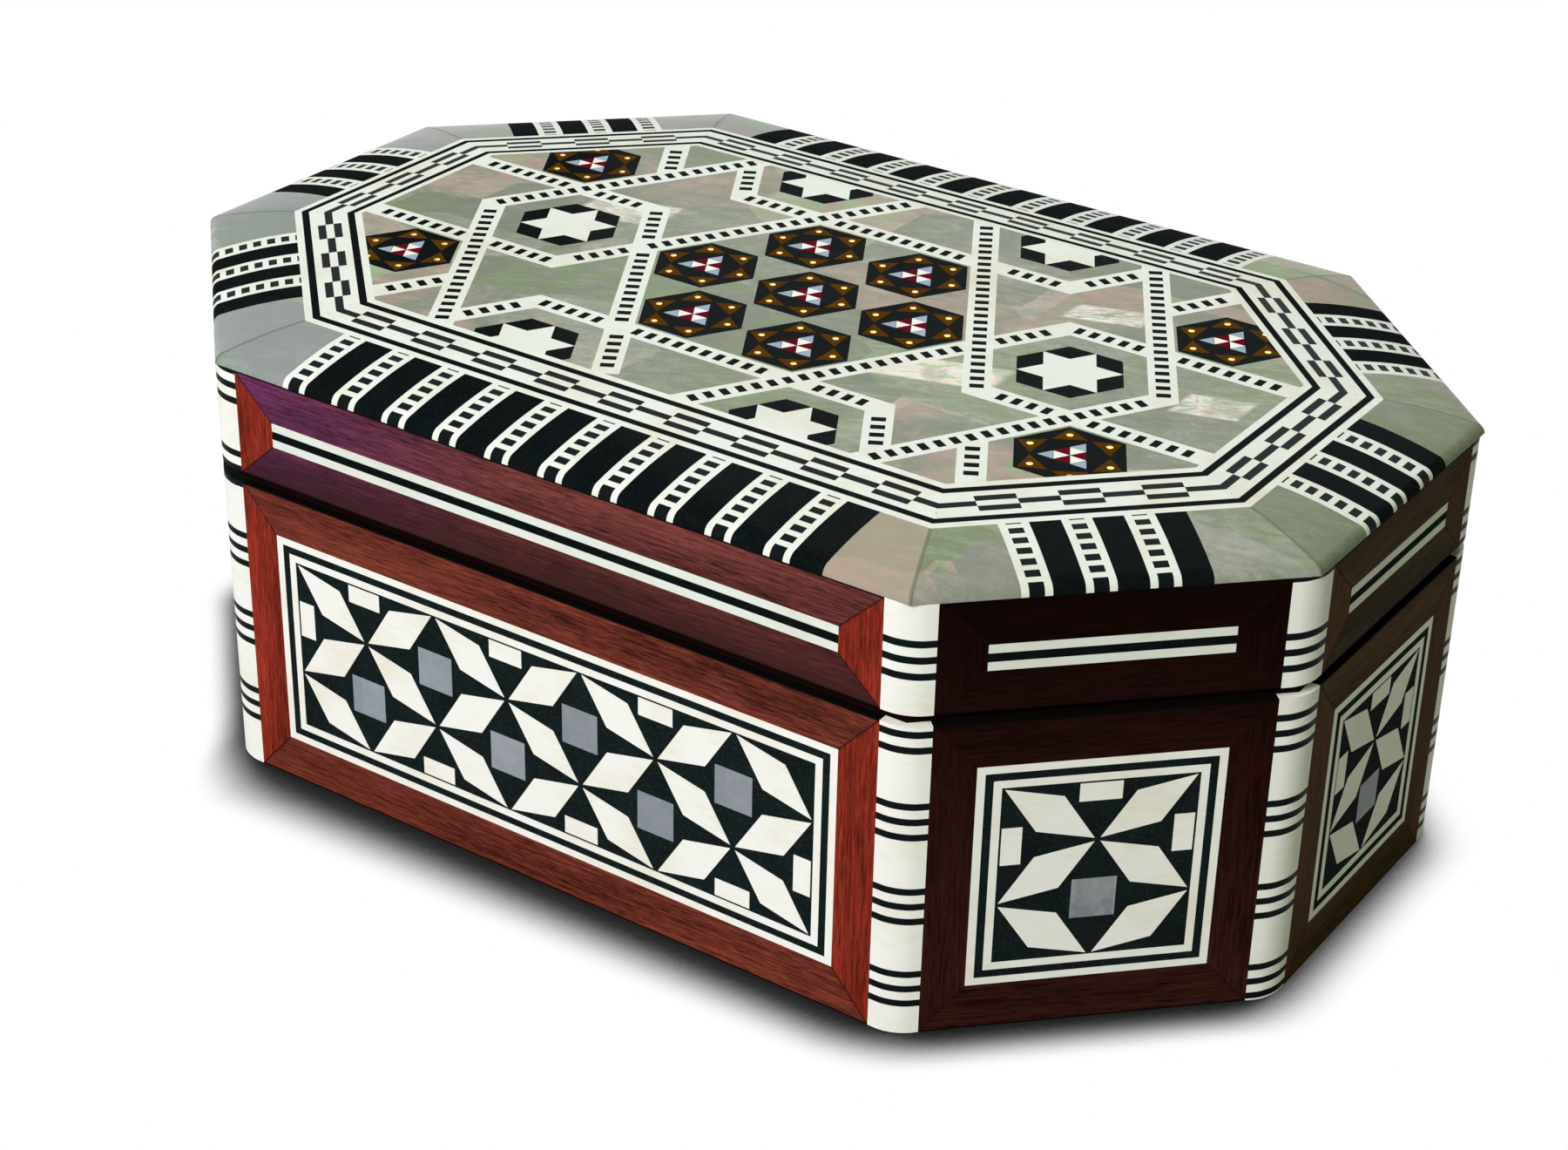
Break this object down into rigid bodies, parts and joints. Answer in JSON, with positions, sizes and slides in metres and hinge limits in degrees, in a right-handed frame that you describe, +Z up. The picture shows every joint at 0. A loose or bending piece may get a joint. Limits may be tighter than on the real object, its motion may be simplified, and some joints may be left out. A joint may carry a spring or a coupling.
{
  "type": "wind up music box",
  "caption": "Eight-sided inlaid wooden music box with a hinged lid, a velvet compartment, and a wound movement with pinned cylinder, comb and governor, stopped by the lid.",
  "frame": {"origin": "on the table, under the middle of the box", "axes": "+X along the box, +Y towards the hinges at the back, +Z up"},
  "size_m": [0.16, 0.1068, 0.0582],
  "materials": {
    "carcass_wood": "plain sanded",
    "side_veneer": "gloss lacquer",
    "white_line": "polished bone",
    "black_line": "polished black inlay",
    "panel_ground": "polished black inlay",
    "bone_petal": "polished bone",
    "shell_square": "polished shell",
    "bone_corner": "polished bone with thin black lines",
    "field_shell": "polished shell",
    "margin_shell": "polished shell",
    "margin_ladder": "bone rails with black squares",
    "margin_bar": "polished black inlay",
    "band_checker": "bone and black dashes",
    "field_ladder": "bone rails with black squares",
    "mosaic": "small triangles of black, red, blue and white",
    "bone_star": "polished bone",
    "star_black": "polished black inlay",
    "velvet": "short pile velvet",
    "clear_cover": "clear",
    "hinge_brass": "polished",
    "brass": "polished",
    "steel": "brushed"
  },
  "bodies": {
    "base": {"base_wall_boards": "carcass_wood", "bottom_board": "carcass_wood", "partition_board": "carcass_wood", "cover_ledges": "carcass_wood", "movement_cover": "clear_cover", "storage_lining": "velvet", "base_wood_veneer": "side_veneer", "base_white_lines": "white_line", "base_black_lines": "black_line", "base_panel_grounds": "panel_ground", "base_bone_petals": "bone_petal", "base_shell_squares": "shell_square", "base_bone_tabs": "bone_petal", "base_corner_strips": "bone_corner", "hinge_base_leaves": "hinge_brass", "hinge_base_nails": "hinge_brass", "hinge_pins": "hinge_brass", "movement_bedplate": "steel", "movement_screws": "steel", "cylinder_brackets": "steel", "comb": "steel", "comb_base": "steel", "comb_screws": "steel", "governor_bracket": "steel"},
    "lid": {"lid_wall_boards": "carcass_wood", "lid_top_board": "carcass_wood", "lid_lining": "velvet", "lid_wood_veneer": "side_veneer", "lid_white_stringing": "white_line", "lid_black_stringing": "black_line", "lid_corner_strips": "bone_corner", "lid_margin_shell": "margin_shell", "lid_margin_ladders": "margin_ladder", "lid_margin_bars": "margin_bar", "lid_band_white": "white_line", "lid_band_black": "black_line", "lid_band_checker": "band_checker", "lid_field_shell": "field_shell", "lid_field_ladders": "field_ladder", "lid_mosaic_hexagons": "mosaic", "lid_bone_stars": "bone_star", "lid_star_kites": "star_black", "hinge_lid_leaves": "hinge_brass", "hinge_lid_nails": "hinge_brass"},
    "key": {"winding_arbor": "steel", "winding_key": "steel"},
    "barrel": {"spring_barrel": "brass", "barrel_cap": "brass", "mainspring": "steel"},
    "cylinder": {"music_cylinder": "brass", "cylinder_pins": "brass", "cylinder_arbor": "steel", "drive_pinion": "steel", "cylinder_gear": "brass"},
    "governor": {"governor_arbor": "steel", "governor_pinion": "steel", "governor_wheel": "brass"},
    "fan": {"governor_worm": "steel", "governor_fan": "brass"},
    "stop": {"stop_rod": "steel"}
  },
  "joints": [
    {"name": "lid_hinge", "type": "hinge", "parent": "base", "child": "lid", "pos_m": [0, 0.05342, 0.0405], "axis": [-1, 0, 0], "range_deg": [0, 95]},
    {"name": "key_turn", "type": "hinge", "parent": "base", "child": "key", "pos_m": [-0.049, -0.016, 0.01], "axis": [0, 0, 1], "continuous": true},
    {"name": "cylinder_spin", "type": "hinge", "parent": "base", "child": "cylinder", "pos_m": [-0.049, 0, 0.0276], "axis": [0, 1, 0], "continuous": true},
    {"name": "barrel_spin", "type": "hinge", "parent": "base", "child": "barrel", "pos_m": [-0.049, -0.016, 0.02], "axis": [0, 0, 1], "continuous": true},
    {"name": "governor_spin", "type": "hinge", "parent": "base", "child": "governor", "pos_m": [-0.03795, 0.02364, 0.0276], "axis": [0, 1, 0], "continuous": true},
    {"name": "fan_spin", "type": "hinge", "parent": "base", "child": "fan", "pos_m": [-0.0323, 0.02364, 0.0276], "axis": [0, 0, 1], "continuous": true},
    {"name": "stop_slide", "type": "slide", "parent": "base", "child": "stop", "axis": [0, 0, 1], "range_m": [0, 0.0016]}
  ],
  "couplings": [
    {"joint": "barrel_spin", "follows": "cylinder_spin", "ratio": 0.33333},
    {"joint": "governor_spin", "follows": "cylinder_spin", "ratio": -2.6667},
    {"joint": "fan_spin", "follows": "cylinder_spin", "ratio": -16},
    {"joint": "stop_slide", "follows": "lid_hinge", "m_per_rad": 0.00096}
  ]
}
